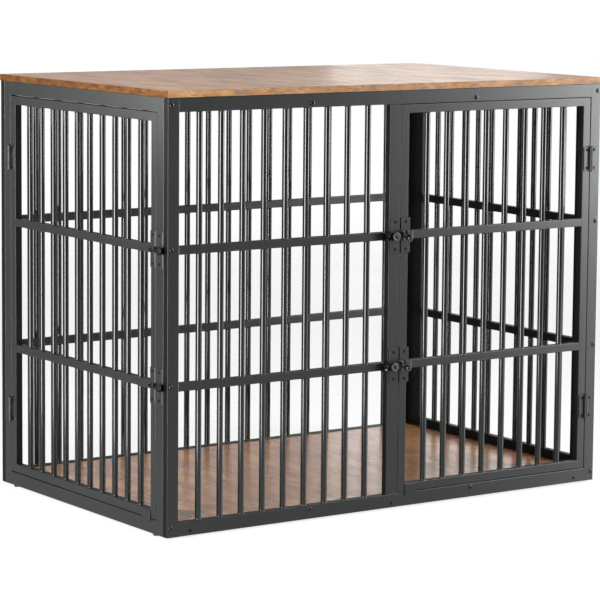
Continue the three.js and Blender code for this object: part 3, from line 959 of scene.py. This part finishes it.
# ---- Feet ----
def feet():
    """Round nail-on glides."""
    for node in sorted(frame["nodes"]):
        if node.startswith("foot_"):
            low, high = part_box(node)
            centre = (low + high) / 2
            radius, height = (high.x - low.x) / 2, high.z - low.z
            bm = bmesh.new()
            local = Matrix.Translation((centre.x, centre.y, low.z))
            lathe(bm, local, [(radius * share, height * level) for share, level in GLIDE_PROFILE], 32)
            make_piece(f"{node}_glide", bm, FOOT_PLASTIC, "frame", [node])


# ---- Floor, lights and camera ----
def studio_floor():
    bm = bmesh.new()
    bmesh.ops.create_circle(bm, cap_ends=True, radius=FLOOR_RADIUS, segments=96)
    mesh = bpy.data.meshes.new("studio_floor")
    bm.to_mesh(mesh)
    bm.free()
    mesh.materials.append(pale_floor())
    floor = bpy.data.objects.new("studio_floor", mesh)
    floor.location.z = cad_low.z - FLOOR_DROP
    bpy.context.scene.collection.objects.link(floor)


def softbox(name, azimuth, elevation, distance, width, height, radiance):
    """An area light that faces the crate; azimuth turns from the front towards the right."""
    data = bpy.data.lights.new(name, "AREA")
    data.shape = "RECTANGLE"
    data.size, data.size_y = width, height
    data.energy = radiance * math.pi * width * height
    lamp = bpy.data.objects.new(name, data)
    turn, lift = math.radians(azimuth), math.radians(elevation)
    away = Vector((math.sin(turn) * math.cos(lift), -math.cos(turn) * math.cos(lift), math.sin(lift)))
    lamp.location = LIGHT_TARGET + away * distance
    lamp.rotation_euler = away.to_track_quat("Z", "Y").to_euler()
    lamp.visible_camera = False
    bpy.context.scene.collection.objects.link(lamp)


def map_range(nodes, links, source, values):
    """A value carried from one range to another, as an output."""
    node = nodes.new("ShaderNodeMapRange")
    for socket, value in zip(RANGE_SOCKETS, values):
        node.inputs[socket].default_value = value
    links.new(source, node.inputs["Value"])
    return node.outputs["Result"]


def maths(nodes, links, operation, a, b):
    """Two outputs joined by a sum or a product."""
    node = nodes.new("ShaderNodeMath")
    node.operation = operation
    links.new(a, node.inputs[0])
    links.new(b, node.inputs[1])
    return node.outputs["Value"]


def world_strength(nodes, links):
    """Bright behind the crate and dim in front, with a glow below the horizon."""
    view = nodes.new("ShaderNodeTexCoord").outputs["Generated"]
    dot = nodes.new("ShaderNodeVectorMath")
    dot.operation = "DOT_PRODUCT"
    dot.inputs[1].default_value = BACK_LIGHT_DIRECTION
    links.new(view, dot.inputs[0])
    axes = nodes.new("ShaderNodeSeparateXYZ")
    links.new(view, axes.inputs[0])
    behind = map_range(nodes, links, dot.outputs["Value"], (0.0, 0.85, 0.03, 0.7))
    glow = map_range(nodes, links, axes.outputs["Z"], (-0.05, -0.24, 0.0, 0.9))
    share = map_range(nodes, links, dot.outputs["Value"], (0.4, -0.3, 0.2, 1.0))
    return maths(nodes, links, "ADD", behind, maths(nodes, links, "MULTIPLY", share, glow))


def world():
    """White backdrop for the camera, and a soft light of its own strength for all else."""
    made = bpy.data.worlds.new("studio")
    made.use_nodes = True
    bpy.context.scene.world = made
    nodes, links = made.node_tree.nodes, made.node_tree.links
    nodes.clear()
    output = nodes.new("ShaderNodeOutputWorld")
    mix = nodes.new("ShaderNodeMixShader")
    backdrop, light = nodes.new("ShaderNodeBackground"), nodes.new("ShaderNodeBackground")
    backdrop.inputs["Color"].default_value = (1, 1, 1, 1)
    path = nodes.new("ShaderNodeLightPath")
    links.new(world_strength(nodes, links), light.inputs["Strength"])
    links.new(path.outputs["Is Camera Ray"], mix.inputs["Fac"])
    links.new(light.outputs["Background"], mix.inputs[1])
    links.new(backdrop.outputs["Background"], mix.inputs[2])
    links.new(mix.outputs["Shader"], output.inputs["Surface"])


def camera():
    data = bpy.data.cameras.new("camera")
    data.sensor_width = 36
    data.lens = CAMERA_LENS
    data.shift_y = CAMERA_SHIFT
    data.clip_start, data.clip_end = 0.1, 100
    made = bpy.data.objects.new("camera", data)
    turn = Matrix.Rotation(-CAMERA_HEADING, 4, "Z") @ Matrix.Rotation(math.pi / 2 - CAMERA_DIP, 4, "X")
    made.matrix_world = Matrix.Translation(CAMERA_PLACE) @ turn @ Matrix.Rotation(CAMERA_ROLL, 4, "Z")
    bpy.context.scene.collection.objects.link(made)
    bpy.context.scene.camera = made


def build():
    camera()
    frame_tubes()
    grille("front", "front_fixed_grille", 9)
    grille("back", "back_grille", 18)
    leaf("right", "right_side_insert", "frame", 10, "right_side_insert")
    leaf("front", "front_door", "front_door", 8, "front_door_leaf")
    leaf("left", "side_door", "side_door", 10, "side_door_leaf")
    frame_bolts()
    stop_plate("front", "front_door_stop_plate", "front_door")
    stop_plate("left", "side_door_stop_plate", "side_door")
    for level in ("lower", "upper"):
        hinge("front", "front", level)
        hinge("left", "side", level)
        latch("front", "front", level, FRONT_LATCH)
        latch("left", "side", level, SIDE_LATCH)
    board("top", "top_board", WOOD_TOP)
    board("floor", "floor_board", WOOD_FLOOR)
    feet()
    studio_floor()
    for box in SOFTBOXES:
        softbox(*box)
    world()
    bpy.context.scene.view_settings.view_transform = "Standard"


build()
